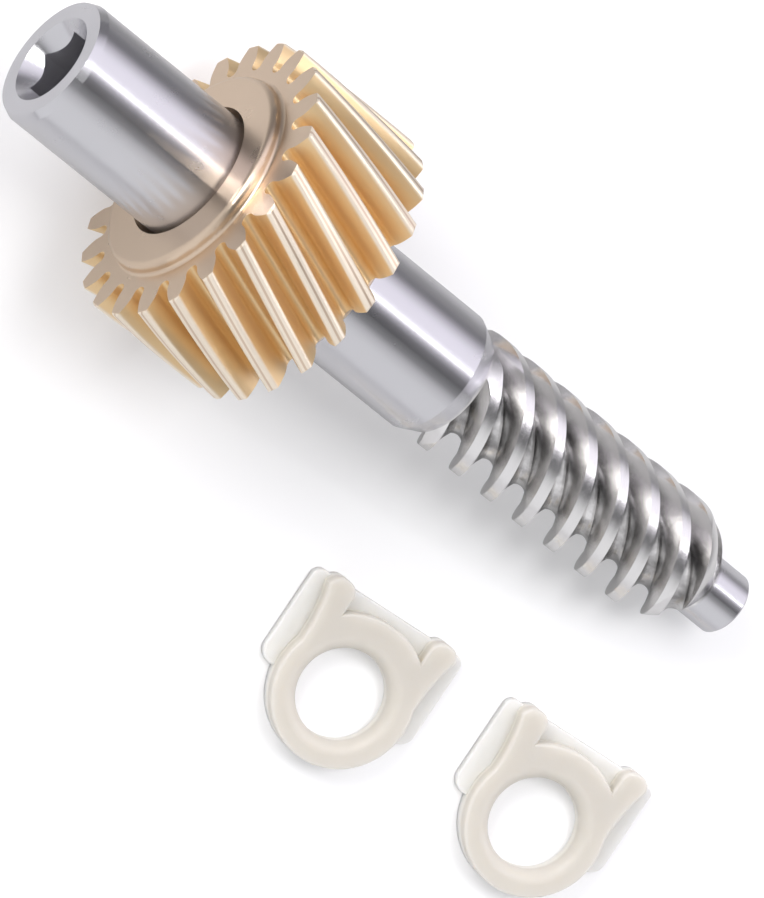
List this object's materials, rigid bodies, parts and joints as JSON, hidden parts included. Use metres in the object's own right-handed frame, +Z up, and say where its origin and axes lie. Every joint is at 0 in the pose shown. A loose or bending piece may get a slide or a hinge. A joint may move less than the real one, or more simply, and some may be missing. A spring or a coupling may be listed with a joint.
{
  "type": "worm gear set",
  "caption": "Steel worm shaft with a hexagon drive socket and a pressed-on bronze helical gear, beside loose nylon ring retainers.",
  "frame": {"origin": "centre of the bottom of the whole set's box, on the table", "axes": "+Z up from the table, +X along the lying shaft from its socket end to its end journal"},
  "size_m": [0.1464, 0.0754, 0.0468],
  "materials": {
    "ground_steel": "ground and polished steel",
    "bronze": "machined bronze, hobbed teeth",
    "nylon": "natural moulded nylon, slightly translucent"
  },
  "bodies": {
    "retainers": {"retainer_a": "nylon", "retainer_b": "nylon"},
    "shaft": {"worm_shaft": "ground_steel", "helical_gear": "bronze"}
  },
  "joints": [
    {"name": "shaft_spin", "type": "hinge", "parent": "retainers", "child": "shaft", "pos_m": [-0.02335, 0.0157, 0.02164], "axis": [0.9845, 0, -0.1753], "continuous": true}
  ]
}
